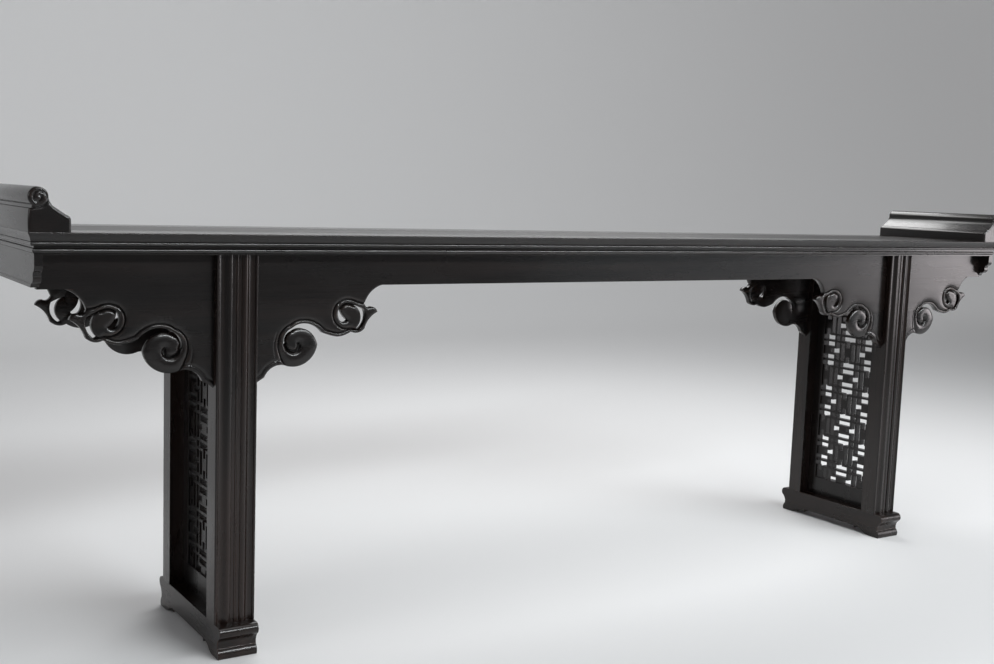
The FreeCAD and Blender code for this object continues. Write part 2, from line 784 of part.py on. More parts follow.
def make_side_frames():
    """Rails and stiles that hold the lattice between each pair of legs."""
    groove = lattice_groove(joint_clearance)
    bar, tenon = stile(0, 0)
    upright = bar.fuse(tenon).cut(groove)
    save("side_stile_right_rear", upright)
    save("side_stile_right_front", mirrored_y(upright))
    save("side_stile_left_rear", mirrored_x(upright))
    save("side_stile_left_front", mirrored_x(mirrored_y(upright)))

    socket = stile(joint_clearance, tenon_end_gap)[1]
    sockets = [socket, mirrored_y(socket), groove]
    for place, (low, high) in side_rail_spans().items():
        bar, tenon = side_rail(low, high, 0, 0)
        rail = bar.fuse(tenon).cut(sockets)
        if place == "bottom":
            rail = rail.cut(plinth_cuts())
        save("side_rail_%s_right" % place, rail)
        save("side_rail_%s_left" % place, mirrored_x(rail))


def plinth_cuts():
    """Shallow steps along the foot of the lower rail, between the tenons."""
    half = side_frame_thickness / 2
    run = (-leg_back, leg_back)
    rise = (foot_height - cut_overrun, foot_height + plinth_height)
    steps = []
    for side in (-1, 1):
        face = leg_x + side * half
        ends = sorted((face - side * plinth_depth, face + side * cut_overrun))
        steps.append(box(tuple(ends), grown(run, cut_overrun), rise))
    return steps


def slot_box(centre, half_size):
    """One opening of the lattice, cut right through."""
    through = lattice_thickness / 2 + cut_overrun
    return box(
        (leg_x - through, leg_x + through),
        (centre[0] - half_size[0], centre[0] + half_size[0]),
        (centre[1] - half_size[1], centre[1] + half_size[1]))


def cell_slots(middle, lying):
    """Openings of one cell: four long slots and two stems beside the knob."""
    narrow = slot_height / 2
    long_half = 1.5 * lattice_pitch - lattice_bar / 2
    stem_in = slot_height
    stem_out = 2 * lattice_pitch
    openings = []
    for count in (-2, -1, 1, 2):
        shift = count * lattice_pitch
        openings.append(((0, shift), (long_half, narrow)))
    for way in (-1, 1):
        openings.append(((way * (stem_in + stem_out) / 2, 0), ((stem_out - stem_in) / 2, narrow)))
    boxes = []
    for offset, half_size in openings:
        if not lying:
            offset = offset[::-1]
            half_size = half_size[::-1]
        boxes.append(slot_box((middle[0] + offset[0], middle[1] + offset[1]), half_size))
    return boxes


def make_lattices():
    """Basket-weave lattice: lying and standing cells in turn, a knob in the middle of each."""
    low = opening_bottom + slot_height / 2
    cutters = []
    for row in range(cells_up + 1):
        for column in (-1, 0, 1):
            middle = (column * cell_size, low + row * cell_size)
            cutters += cell_slots(middle, (row + column) % 2 == 0)
        for side in (-1, 1):
            corner = (side * cell_size / 2, low + (row + 0.5) * cell_size)
            cutters.append(slot_box(corner, (slot_height / 2, slot_height / 2)))
    opening = box(
        grown((leg_x, leg_x), lattice_thickness + cut_overrun),
        (-opening_half_width, opening_half_width),
        (opening_bottom, opening_top))
    holes = cutters[0].multiFuse(cutters[1:]).removeSplitter().common(opening)
    lattice = lattice_groove(0).cut(holes)
    save("lattice_right", lattice)
    save("lattice_left", mirrored_x(lattice))


def main():
    os.makedirs("parts", exist_ok=True)
    make_board()
    make_flanges()
    make_aprons()
    make_end_boards()
    make_spandrels()
    make_legs()
    make_feet()
    make_side_frames()
    make_lattices()


main()
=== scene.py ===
import cmath
import math

import bmesh
import bpy
import numpy as np
from mathutils import Matrix, Vector
from mathutils.geometry import delaunay_2d_cdt
from mathutils.kdtree import KDTree


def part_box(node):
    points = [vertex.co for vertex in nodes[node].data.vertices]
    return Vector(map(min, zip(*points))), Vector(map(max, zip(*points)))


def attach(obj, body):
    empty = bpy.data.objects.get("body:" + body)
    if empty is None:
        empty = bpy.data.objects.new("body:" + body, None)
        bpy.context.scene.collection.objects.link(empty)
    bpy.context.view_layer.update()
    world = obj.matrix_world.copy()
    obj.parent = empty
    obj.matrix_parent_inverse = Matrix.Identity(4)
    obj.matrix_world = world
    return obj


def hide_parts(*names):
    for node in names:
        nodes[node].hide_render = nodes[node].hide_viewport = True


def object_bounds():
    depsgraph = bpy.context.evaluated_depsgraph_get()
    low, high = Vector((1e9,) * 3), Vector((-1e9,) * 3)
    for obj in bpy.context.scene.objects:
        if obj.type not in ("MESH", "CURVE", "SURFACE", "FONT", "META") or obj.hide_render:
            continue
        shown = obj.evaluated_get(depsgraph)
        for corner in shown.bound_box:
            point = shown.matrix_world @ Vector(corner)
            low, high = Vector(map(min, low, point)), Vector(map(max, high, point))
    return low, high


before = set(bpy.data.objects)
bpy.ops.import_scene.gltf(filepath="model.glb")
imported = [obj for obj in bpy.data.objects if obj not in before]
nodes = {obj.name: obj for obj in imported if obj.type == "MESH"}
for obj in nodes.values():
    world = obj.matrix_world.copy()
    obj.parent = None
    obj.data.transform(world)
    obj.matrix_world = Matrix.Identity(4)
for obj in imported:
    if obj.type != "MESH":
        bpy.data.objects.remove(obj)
cad_low, cad_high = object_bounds()

PHOTO_WIDTH = 994
MM = 0.001
OUTLINE_STEP = 1.4
FINE_STEP = 1.0


# Materials

def link(tree, out, into):
    tree.links.new(out, into)


def ramp(tree, stops, fac):
    node = tree.nodes.new("ShaderNodeValToRGB")
    elements = node.color_ramp.elements
    while len(elements) > 1:
        elements.remove(elements[-1])
    elements[0].position = stops[0][0]
    elements[0].color = (*stops[0][1], 1.0)
    for place, colour in stops[1:]:
        element = elements.new(place)
        element.color = (*colour, 1.0)
    link(tree, fac, node.inputs["Fac"])
    return node.outputs["Color"]


def masked(tree, low, high, fac):
    """Grey mask that rises from 0 at low to 1 at high."""
    node = tree.nodes.new("ShaderNodeMapRange")
    node.interpolation_type = "SMOOTHSTEP"
    node.inputs["From Min"].default_value = low
    node.inputs["From Max"].default_value = high
    link(tree, fac, node.inputs["Value"])
    return node.outputs["Result"]


def noise(tree, vector, detail, roughness, distortion):
    node = tree.nodes.new("ShaderNodeTexNoise")
    node.inputs["Scale"].default_value = 1.0
    node.inputs["Detail"].default_value = detail
    node.inputs["Roughness"].default_value = roughness
    node.inputs["Distortion"].default_value = distortion
    link(tree, vector, node.inputs["Vector"])
    return node.outputs["Fac"]


OFFSET_SHARES = (1.0, 0.7, 1.3)


def stretched(tree, axis, along, across, offset):
    """Object coordinates, drawn out along the grain."""
    coords = tree.nodes.new("ShaderNodeTexCoord")
    mapping = tree.nodes.new("ShaderNodeMapping")
    scale = [across, across, across]
    scale[axis] = along
    mapping.inputs["Scale"].default_value = scale
    mapping.inputs["Location"].default_value = [offset * share for share in OFFSET_SHARES]
    link(tree, coords.outputs["Object"], mapping.inputs["Vector"])
    return mapping.outputs["Vector"]


def mixed(tree, kind, fac, a, b):
    node = tree.nodes.new("ShaderNodeMix")
    node.data_type = "RGBA"
    node.blend_type = kind
    if isinstance(fac, float):
        node.inputs["Factor"].default_value = fac
    else:
        link(tree, fac, node.inputs["Factor"])
    for value, socket in ((a, node.inputs["A"]), (b, node.inputs["B"])):
        if isinstance(value, tuple):
            socket.default_value = (*value, 1.0)
        else:
            link(tree, value, socket)
    return node.outputs["Result"]


def plus(tree, a, b):
    node = tree.nodes.new("ShaderNodeMath")
    node.operation = "ADD"
    link(tree, a, node.inputs[0])
    link(tree, b, node.inputs[1])
    return node.outputs["Value"]


def mapped(tree, value, low, high):
    node = tree.nodes.new("ShaderNodeMapRange")
    node.inputs["To Min"].default_value = low
    node.inputs["To Max"].default_value = high
    link(tree, value, node.inputs["Value"])
    return node.outputs["Result"]


def times(tree, a, b):
    node = tree.nodes.new("ShaderNodeMath")
    node.operation = "MULTIPLY"
    for value, socket in ((a, node.inputs[0]), (b, node.inputs[1])):
        if isinstance(value, float):
            socket.default_value = value
        else:
            link(tree, value, socket)
    return node.outputs["Value"]


# Roughness of the lacquer, from where hands have polished it to where dust has dulled it
SATIN = (0.20, 0.34)
DULL = (0.34, 0.48)

# Layers of the pattern: scale along the grain and across it, shift from the wood's own offset,
# and the noise's detail, roughness and distortion
FIGURE_LAYER = (0.9, 30.0, 0.0, 5.0, 0.6, 0.5)
PORE_LAYER = (9.0, 420.0, 3.0, 3.0, 0.5, 0.0)
RUDDY_LAYER = (0.7, 6.0, 7.0, 3.0, 0.6, 0.0)
SMEAR_LAYER = (3.0, 14.0, 11.0, 4.0, 0.6, 0.0)
WORN_LAYER = (14.0, 60.0, 5.0, 4.0, 0.65, 0.0)

TONE_PLACES = (0.3, 0.5, 0.72)
PORE_STOPS = [(0.36, (0.3, 0.3, 0.3)), (0.5, (1.0, 1.0, 1.0))]
PORE_SHARE = 0.7
RUDDY_RANGE = (0.42, 0.74)
RUDDY_SHARE = 0.5
WORN_RANGE = (0.40, 0.64)
WORN_SHARE = 0.6

# Pointiness of what stands out and of what lies deep, on carving; what lies deep gets painted shade, a darker
# colour, and a duller lacquer
CREST_RANGE = (0.51, 0.56)
HOLLOW_RANGE = (0.49, 0.44)
HOLLOW_PAINTED_SHADE = (0.35, 0.32, 0.30)
HOLLOW_DULLING = 0.22

LACQUER_SPECULAR = 0.35
COAT_ROUGHNESS = 0.12
BUMP_STRENGTH = 0.22
PORE_DEPTH = 0.0006
FIGURE_DEPTH = 0.003


def grain(tree, axis, offset, layer):
    along, across, shift, detail, roughness, distortion = layer
    return noise(tree, stretched(tree, axis, along, across, offset + shift), detail, roughness, distortion)


def bumped(tree, height, depth, under=None):
    """Normal raised by the height, over another bump's normal where there is one."""
    node = tree.nodes.new("ShaderNodeBump")
    node.inputs["Strength"].default_value = BUMP_STRENGTH
    node.inputs["Distance"].default_value = depth
    link(tree, height, node.inputs["Height"])
    if under is not None:
        link(tree, under, node.inputs["Normal"])
    return node.outputs["Normal"]


def wood(name, axis, tones, offset=0.0, gloss=0.15, wear_and_shade="none", sheen=SATIN):
    """Dark hardwood under satin lacquer. Tones: dark, middle, light, ruddy, bare.

    Wear is none, on an eased arris, or on the crests of carving, where the carving's hollows also get painted
    shade."""
    material = bpy.data.materials.new(name)
    material.use_nodes = True
    tree = material.node_tree
    shader = tree.nodes["Principled BSDF"]
    figure = grain(tree, axis, offset, FIGURE_LAYER)
    colour = ramp(tree, list(zip(TONE_PLACES, tones)), figure)
    pores = grain(tree, axis, offset, PORE_LAYER)
    colour = mixed(tree, "MULTIPLY", PORE_SHARE, colour, ramp(tree, PORE_STOPS, pores))
    ruddy = masked(tree, *RUDDY_RANGE, grain(tree, axis, offset, RUDDY_LAYER))
    colour = mixed(tree, "MIX", times(tree, ruddy, RUDDY_SHARE), colour, tones[3])
    rough = mapped(tree, grain(tree, axis, offset, SMEAR_LAYER), *sheen)
    if wear_and_shade != "none":
        broken = masked(tree, *WORN_RANGE, grain(tree, axis, offset, WORN_LAYER))
        if wear_and_shade == "crests":
            pointed = tree.nodes.new("ShaderNodeNewGeometry").outputs["Pointiness"]
            broken = times(tree, broken, masked(tree, *CREST_RANGE, pointed))
            hollow = masked(tree, *HOLLOW_RANGE, pointed)
            # Painted shade: the colour is darkened where the carving lies deep
            colour = mixed(tree, "MULTIPLY", hollow, colour, HOLLOW_PAINTED_SHADE)
            rough = plus(tree, rough, times(tree, hollow, HOLLOW_DULLING))
        colour = mixed(tree, "MIX", times(tree, broken, WORN_SHARE), colour, tones[4])
    link(tree, colour, shader.inputs["Base Color"])
    link(tree, rough, shader.inputs["Roughness"])
    shader.inputs["Specular IOR Level"].default_value = LACQUER_SPECULAR
    shader.inputs["Coat Weight"].default_value = gloss
    shader.inputs["Coat Roughness"].default_value = COAT_ROUGHNESS
    normal = bumped(tree, figure, FIGURE_DEPTH, bumped(tree, pores, PORE_DEPTH))
    link(tree, normal, shader.inputs["Normal"])
    return material


BLACKISH = (
    (0.0030, 0.0024, 0.0023), (0.0060, 0.0044, 0.0040), (0.0110, 0.0074, 0.0063),
    (0.0130, 0.0072, 0.0056), (0.040, 0.023, 0.016))
BROWN = (
    (0.0040, 0.0027, 0.0023), (0.0090, 0.0054, 0.0043), (0.0180, 0.0098, 0.0072),
    (0.0290, 0.0125, 0.0085), (0.070, 0.036, 0.024))


def wood_pair(name, axis, tones, offset, gloss=0.15, sheen=SATIN):
    """The same wood for a piece's faces and for its worn arrises."""
    return (
        wood("wood_" + name, axis, tones, offset, gloss, "none", sheen),
        wood("wood_%s_arris" % name, axis, tones, offset, gloss, "arris", sheen),
    )


front_wood = wood_pair("front", 0, BLACKISH, 1.3, 0.2)
board_wood = wood_pair("board", 0, BLACKISH, 5.1, 0.35)
panel_wood = wood_pair("panel", 0, BLACKISH, 5.1, 0.1, DULL)
cross_wood = wood_pair("cross", 1, BLACKISH, 9.4, 0.3)
leg_wood = wood_pair("leg", 2, BROWN, 14.2, 0.25)
foot_wood = wood_pair("foot", 1, BROWN, 21.0)
lattice_wood = wood_pair("lattice", 2, BLACKISH, 26.3, 0.08)
# Carved pieces: wear on their crests, painted shade in their hollows
scroll_wood = wood("wood_scroll", 0, BLACKISH, 1.3, 0.2, "crests")
flange_wood = wood("wood_flange", 1, BLACKISH, 9.4, 0.3, "crests")


# Pieces that keep their solid's shape

MERGE_DISTANCE = 1e-6
FLAT_ANGLE = math.radians(0.4)
HARD_ANGLE = math.radians(32)
ARRIS_WIDTH = 0.9
FINE_ARRIS_WIDTH = 0.6
ARRIS_SEGMENTS = 2


def ride_for(piece, name):
    """The piece rides with the table and stands for the node."""
    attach(piece, "root")
    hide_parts(name)


def new_piece(name, mesh, *materials):
    """Object from a bmesh, with smooth shading."""
    data = bpy.data.meshes.new(name)
    mesh.to_mesh(data)
    mesh.free()
    for face in data.polygons:
        face.use_smooth = True
    for material in materials:
        data.materials.append(material)
    piece = bpy.data.objects.new(name, data)
    bpy.context.scene.collection.objects.link(piece)
    return piece


def softened(name, woods, width=ARRIS_WIDTH, cuts=(), kept=None):
    """A CAD solid again, with its arrises eased as a plane and years of wear leave them.

    Cuts are places along X where long edges are divided. Kept says which edges stay sharp,
    on a piece that is shaded flat."""
    mesh = bmesh.new()
    mesh.from_mesh(nodes[name].data)
    bmesh.ops.remove_doubles(mesh, verts=mesh.verts, dist=MERGE_DISTANCE)
    bmesh.ops.dissolve_limit(mesh, angle_limit=FLAT_ANGLE, verts=mesh.verts, edges=mesh.edges)
    for place in cuts:
        whole = mesh.verts[:] + mesh.edges[:] + mesh.faces[:]
        bmesh.ops.bisect_plane(mesh, geom=whole, plane_co=(place, 0, 0), plane_no=(1, 0, 0))
    weight = mesh.edges.layers.float.new("bevel_weight_edge")
    for edge in mesh.edges:
        hard = edge.is_manifold and edge.calc_face_angle() > HARD_ANGLE
        if hard and kept and kept(edge):
            edge.smooth = False
        elif hard:
            edge[weight] = 1.0
    piece = new_piece(name + "_wood", mesh, *woods)
    if kept:
        piece.data.shade_flat()
    bevel = piece.modifiers.new("arris", "BEVEL")
    bevel.material = 1
    bevel.width = width * MM
    bevel.segments = ARRIS_SEGMENTS
    bevel.limit_method = "WEIGHT"
    if not kept:
        piece.modifiers.new("even_faces", "WEIGHTED_NORMAL").keep_sharp = True
    ride_for(piece, name)
    return piece


# Outlines, as complex numbers in millimetres

SAMPLE_STEP = 0.5
INSIDE_CONSTRAINTS = 1
POINT_TOLERANCE = 1e-7
ROW_RISE_SHARE = math.sqrt(0.75)
ROW_CLEARANCE_SHARE = 0.93
FIELD_CLEARANCE_SHARE = 0.4
CARVED_SHARP_ANGLE = math.radians(50)


def arc_through(start, middle, end, step):
    """Points about a step apart along the arc through three points, the last left out."""
    turn = (end - start) / (middle - start)
    centre = (middle - start) * (turn - abs(turn) ** 2) / (2j * turn.imag) + start
    sweep = cmath.phase((middle - centre) / (start - centre))
    sweep += cmath.phase((end - centre) / (middle - centre))
    count = max(2, math.ceil(abs(sweep) * abs(start - centre) / step))
    return [centre + (start - centre) * cmath.exp(1j * sweep * number / count) for number in range(count)]


def arcs_through(points, step):
    chain = []
    for number in range(0, len(points) - 2, 2):
        chain += arc_through(*points[number:number + 3], step)
    return chain + points[-1:]


def bulged(start, end, height, step):
    """Arc whose middle stands off the chord by height, to its left, the last point left out."""
    normal = 1j * (end - start) / abs(end - start)
    return arc_through(start, (start + end) / 2 + normal * height, end, step)


def straight(start, end, step):
    """Points along a line, the last left out."""
    count = max(1, math.ceil(abs(end - start) / step))
    return [start + (end - start) * number / count for number in range(count)]


def spiral(centre, radii, angles, step):
    """Points along a spiral that shrinks evenly, angles in degrees."""
    start, end = (math.radians(angle) for angle in angles)
    count = math.ceil(abs(end - start) * max(radii) / step)
    points = []
    for number in range(count + 1):
        share = number / count
        radius = radii[0] * (radii[1] / radii[0]) ** share
        points.append(centre + cmath.rect(radius, start + (end - start) * share))
    return points


def smooth_line(points, step):
    """Catmull-Rom curve through given points."""
    padded = [2 * points[0] - points[1]] + points + [2 * points[-1] - points[-2]]
    chain = []
    for a, b, c, d in zip(padded, padded[1:], padded[2:], padded[3:]):
        count = max(2, math.ceil(abs(c - b) / step))
        for number in range(count):
            t = number / count
            bend = 2 * a - 5 * b + 4 * c - d + t * (3 * (b - c) + d - a)
            chain.append(b + 0.5 * t * (c - a + t * bend))
    return chain + [points[-1]]


def shifted(points, offset):
    """The same open run of points, moved to its left by the offset."""
    ahead = points[1:] + [2 * points[-1] - points[-2]]
    return [point + 1j * (after - point) / abs(after - point) * offset for point, after in zip(points, ahead)]


def dense(points, step=SAMPLE_STEP):
    """The same open run of points, filled in until none is further than a step from the next."""
    chain = []
    for a, b in zip(points, points[1:]):
        chain += straight(a, b, step)
    return chain + [points[-1]]


def distances(points, curve):
    """Distance of each point from a curve."""
    samples = dense(curve)
    tree = KDTree(len(samples))
    for number, sample in enumerate(samples):
        tree.insert((sample.real, sample.imag, 0), number)
    tree.balance()
    return np.array([tree.find((point.real, point.imag, 0))[2] for point in points])


def rounding(distance, reach, depth):
    """Depth below the surface at a distance from an edge that is rounded over the reach."""
    inward = 1 - np.minimum(distance / reach, 1)
    return depth * (1 - np.sqrt(1 - inward ** 2))


def furrow(distance, half_width, depth):
    return depth * np.exp(-(distance / half_width) ** 2)


def smoothstep(value, low, high):
    share = np.clip((value - low) / (high - low), 0, 1)
    return share * share * (3 - 2 * share)


def inside_loop(points, loop):
    """Which points lie inside a closed run of points, by counting crossings."""
    x = points.real
    y = points.imag
    inside = np.zeros(len(points), bool)
    for a, b in zip(loop, loop[1:] + loop[:1]):
        spans = (a.imag > y) != (b.imag > y)
        if not spans.any():
            continue
        cross = a.real + (y - a.imag) / (b.imag - a.imag) * (b.real - a.real)
        inside ^= spans & (x < cross)
    return inside


def triangulated(loops, extra):
    """Triangles that fill the first loop but for the others, and use the extra points too."""
    points = []
    edges = []
    for loop in loops:
        first = len(points)
        points += loop
        edges += [(first + n, first + (n + 1) % len(loop)) for n in range(len(loop))]
    rim_count = len(points)
    flat = [Vector((point.real, point.imag)) for point in points + list(extra)]
    found = delaunay_2d_cdt(flat, edges, [], INSIDE_CONSTRAINTS, POINT_TOLERANCE)
    spots = np.array([complex(*spot) for spot in found[0]])
    corners = np.array(found[2])
    middles = spots[corners].mean(axis=1)
    solid = inside_loop(middles, loops[0])
    for hole in loops[1:]:
        solid &= ~inside_loop(middles, hole)
    rim = {}
    for number, origins in enumerate(found[3]):
        for origin in origins:
            if origin < rim_count:
                rim[origin] = number
    return spots, corners[solid].tolist(), rim, edges


def oriented(loop, sign):
    """The loop run so that its area has the sign: solid wood lies to its left."""
    area = sum((a.conjugate() * b).imag for a, b in zip(loop, loop[1:] + loop[:1]))
    return loop if area * sign > 0 else loop[::-1]


def filling(loops, insets, spacing, tracks=(), beside=()):
    """Points inside the loops: rows along the edges and beside the tracks, then an even field."""
    closed = [loop + loop[:1] for loop in loops]

    def kept(points, clear):
        points = np.array(points)
        within = inside_loop(points, loops[0])
        for hole in loops[1:]:
            within &= ~inside_loop(points, hole)
        points = points[within]
        nearest = np.min([distances(points, loop) for loop in closed], axis=0)
        return points[nearest > clear]

    field = []
    for inset in insets:
        row = []
        for loop in loops:
            for before, point, after in zip(loop[-1:] + loop[:-1], loop, loop[1:] + loop[:1]):
                row.append(point + 1j * (after - before) / abs(after - before) * inset)
        field.append(kept(row, inset * ROW_CLEARANCE_SHARE))
    for offset in beside:
        for track in tracks:
            field.append(kept(shifted(track, offset), insets[0]))
    xs = [point.real for point in loops[0]]
    ys = [point.imag for point in loops[0]]
    rise = spacing * ROW_RISE_SHARE
    grid = []
    for line in range(math.ceil((max(ys) - min(ys)) / rise)):
        start = min(xs) + spacing / 2 * (line % 2)
        for number in range(math.ceil((max(xs) - start) / spacing)):
            grid.append(complex(start + number * spacing, min(ys) + line * rise))
    clear = spacing * FIELD_CLEARANCE_SHARE
    grid = kept(grid, insets[-1] + clear)
    for track in tracks:
        grid = grid[distances(grid, track) > max(beside) + clear]
    return np.concatenate(field + [grid])


def carved_plate(loops, thickness, front, back):
    """Solid between two faces over one region, as points in millimetres and faces.

    Front and back are each a pair: the points inside the region, and a function that
    says how far the face lies below its plane at given points."""
    loops = [oriented(loop, 1 if number == 0 else -1) for number, loop in enumerate(loops)]
    corners = []
    faces = []
    rims = []
    for level, way, (field, depth) in ((0, 1, front), (thickness, -1, back)):
        spots, triangles, rim, edges = triangulated(loops, field(loops))
        first = len(corners)
        sunk = depth(spots)
        corners += [(spot.real, spot.imag, -level - way * below) for spot, below in zip(spots, sunk)]
        faces += [tuple(first + corner for corner in triangle) for triangle in triangles]
        rims.append({number: first + corner for number, corner in rim.items()})
    for a, b in edges:
        faces.append((rims[0][a], rims[0][b], rims[1][b], rims[1][a]))
    return corners, faces


def carved_piece(name, plate, place, material):
    """One node's carved piece: place takes a plate's point to the table's frame."""
    corners, faces = plate
    mesh = bmesh.new()
    made = [mesh.verts.new(place(*corner)) for corner in corners]
    for face in faces:
        mesh.faces.new([made[corner] for corner in face])
    bmesh.ops.recalc_face_normals(mesh, faces=mesh.faces)
    piece = new_piece(name + "_wood", mesh, material)
    piece.data.set_sharp_from_angle(angle=CARVED_SHARP_ANGLE)
    ride_for(piece, name)
    return piece


# Cloud-scroll spandrels: X runs out from the leg's side, Y is negative downward

SPANDREL_TAB = 8.0
SPANDREL_TONGUE = 6.0
spandrel_low, spandrel_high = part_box("spandrel_rear_right_outer")
SPANDREL_REACH = (spandrel_high[0] - spandrel_low[0]) / MM - SPANDREL_TAB
SPANDREL_DROP = (spandrel_high[2] - spandrel_low[2]) / MM - SPANDREL_TONGUE
SPANDREL_THICKNESS = (spandrel_high[1] - spandrel_low[1]) / MM

LARGE_VOLUTE = (0.31, 0.572)
SMALL_VOLUTE = (0.7, 0.314)
CRESCENT_OUTER = [(0.807, 0.469), (0.857, 0.39), (0.857, 0.262)]
CRESCENT_INNER = [(0.812, 0.23), (0.763, 0.205), (0.826, 0.324), (0.79, 0.455)]
COMMA_OUTER = [(0.66, 0.219), (0.643, 0.29), (0.66, 0.369), (0.69, 0.39), (0.723, 0.369)]
COMMA_INNER = [(0.684, 0.314), (0.66, 0.219)]
HOLLOW = [(0.905, 0.078), (0.857, 0.195)]
HOOK = [(0.876, 0.235), (0.915, 0.233)]
CURL = [(0.95, 0.251), (0.966, 0.29)]
NOTCH = [(0.905, 0.352), (0.862, 0.462)]
LOBE = [(0.815, 0.503), (0.75, 0.49)]
RIBBON = [(0.69, 0.529), (0.637, 0.538)]
RIBBON_RISE = [(0.585, 0.522)]
SCALLOP = [(0.137, 0.833), (0.077, 0.93), (0.05, 0.952), (0.0, 1.0)]

# The large slit, by radius and angle round its volute: the mouth's two sides, the waist, the end
SLIT_OUTER_MOUTH = (66.0, 15.0)
SLIT_INNER_MOUTH = (53.5, -9.0)
SLIT_WAIST_RADII = (30.0, 22.5)
SLIT_END_RADII = (26.5, 21.0)
SLIT_WAIST_ANGLE = 105.0
SLIT_END_ANGLE = 190.0
SLIT_TIP_BULGE = 2.4
SLIT_TIP_ANGLE = 280
LARGE_VOLUTE_RADIUS = 56.0
LARGE_VOLUTE_END_ANGLE = -113.0
SEAT_STEP = 6.0


def shared(*shares):
    return [complex(out * SPANDREL_REACH, -down * SPANDREL_DROP) for out, down in shares]


def slit_side(centre, mouth, waist, end):
    """One side of the large slit: radius and angle at its mouth, radii at its waist and end."""
    entry = spiral(centre, (mouth[0], waist), (mouth[1], SLIT_WAIST_ANGLE), OUTLINE_STEP)
    return entry[:-1] + spiral(centre, (waist, end), (SLIT_WAIST_ANGLE, SLIT_END_ANGLE), OUTLINE_STEP)


def spandrel_curves():
    """The outline in stretches, each with its own carving, and the two holes."""
    centre = shared(LARGE_VOLUTE)[0]
    slit_outer = slit_side(centre, SLIT_OUTER_MOUTH, SLIT_WAIST_RADII[0], SLIT_END_RADII[0])
    slit_inner = slit_side(centre, SLIT_INNER_MOUTH, SLIT_WAIST_RADII[1], SLIT_END_RADII[1])[::-1]
    bulge = SLIT_TIP_BULGE * cmath.rect(1, math.radians(SLIT_TIP_ANGLE))
    tip = slit_outer[-1] - (slit_outer[-1] - slit_inner[0]) / 2 + bulge
    slit_end = arc_through(slit_outer[-1], tip, slit_inner[0], FINE_STEP)[1:]
    inner_radius, inner_angle = SLIT_INNER_MOUTH
    body = spiral(
        centre, (inner_radius, LARGE_VOLUTE_RADIUS), (inner_angle, LARGE_VOLUTE_END_ANGLE), OUTLINE_STEP)
    corner = [complex(SPANDREL_REACH, 0)]
    cloud = arcs_through(corner + shared(*HOLLOW), OUTLINE_STEP)
    curl = arcs_through(shared(HOLLOW[1], *HOOK, *CURL, *NOTCH, *LOBE), OUTLINE_STEP)
    ribbon = arcs_through(shared(LOBE[1], *RIBBON, *RIBBON_RISE) + slit_outer[:1], OUTLINE_STEP)
    scallops = arcs_through(body[-1:] + shared(*SCALLOP), OUTLINE_STEP)
    seat = [scallops[-1], complex(-SPANDREL_TAB, -SPANDREL_DROP), complex(-SPANDREL_TAB, 0), corner[0]]
    seat = [spot for a, b in zip(seat, seat[1:]) for spot in straight(a, b, SEAT_STEP)]
    crescent = arcs_through(shared(*CRESCENT_OUTER, *CRESCENT_INNER), OUTLINE_STEP)
    crescent += straight(crescent[-1], crescent[0], OUTLINE_STEP)[1:]
    comma = arcs_through(shared(*COMMA_OUTER, *COMMA_INNER), OUTLINE_STEP)[:-1]
    return {
        "plain": cloud, "curl": curl, "ribbon": ribbon + slit_outer[1:] + slit_end,
        "body": slit_inner + body[1:], "scallops": scallops, "seat": seat,
        "crescent": crescent, "comma": comma,
    }


CURVES = spandrel_curves()
SPANDREL_LOOPS = [
    CURVES["plain"][:-1] + CURVES["curl"][:-1] + CURVES["ribbon"] + CURVES["body"][:-1]
    + CURVES["scallops"][:-1] + CURVES["seat"],
    CURVES["crescent"],
    CURVES["comma"],
]


# Furrows round the volutes, as radius and angle
AROUND_LARGE = ((38.5, 128), (39, 158), (40.5, 190), (44, 214), (50, 233), (58, 247), (68, 252))
OVER_SMALL = (
    (42.5, 42), (37.5, 65), (35, 90), (33, 118), (31, 145), (29, 175), (28, 205), (28, 235), (29.5, 262),
    (33, 288))
WINDING = ((23.5, 188), (24.5, 215), (23.5, 245), (21.5, 275), (18.5, 298), (14.5, 314), (9, 328))
COILED = ((29.5, 44), (27, 62), (25, 82), (22.5, 102), (19.5, 122))
ECHO = ((47, 158), (49, 185), (53, 207), (60, 224), (70, 236))
RIM = 8.5
RIM_STRIDE = 5
WAIST_MARGIN = 0.5

# Half width and depth of each furrow
FURROW_CUTS = {
    "winding": (3.8, 4.8), "curled": (1.9, 2.6), "rim": (1.9, 2.0), "echo": (1.6, 0.9), "coiled": (2.4, 3.6)}


def wheel(centre, places):
    """Points given as radius and angle round a centre."""
    return [centre + cmath.rect(radius, math.radians(angle)) for radius, angle in places]


def spandrel_furrows():
    """Lines cut into the front: they wind into both volutes, join the small one's openings
    and part the ribbon from the ground."""
    large = shared(LARGE_VOLUTE)[0]
    small = shared(SMALL_VOLUTE)[0]
    tip = CURVES["crescent"][0]
    near = SLIT_WAIST_RADII[0] + WAIST_MARGIN
    waist = next(number for number, point in enumerate(CURVES["ribbon"]) if abs(point - large) < near)
    under = shifted(CURVES["ribbon"][:waist], -RIM)[::RIM_STRIDE]
    return {
        "rim": smooth_line([tip] + under + wheel(large, AROUND_LARGE), FINE_STEP),
        "curled": smooth_line(shared(HOLLOW[1]) + wheel(small, OVER_SMALL) + [tip], FINE_STEP),
        "winding": smooth_line(wheel(large, WINDING), FINE_STEP),
        "coiled": smooth_line(wheel(small, COILED), FINE_STEP),
        "echo": smooth_line(wheel(large, ECHO), FINE_STEP),
    }


FURROWS = spandrel_furrows()

# A way round below the spandrel that closes what is carved round into one region
DETOUR_NEAR = 60
DETOUR_FAR = 340
DETOUR_LOW = -260
GROUND_BLEND = 0.8

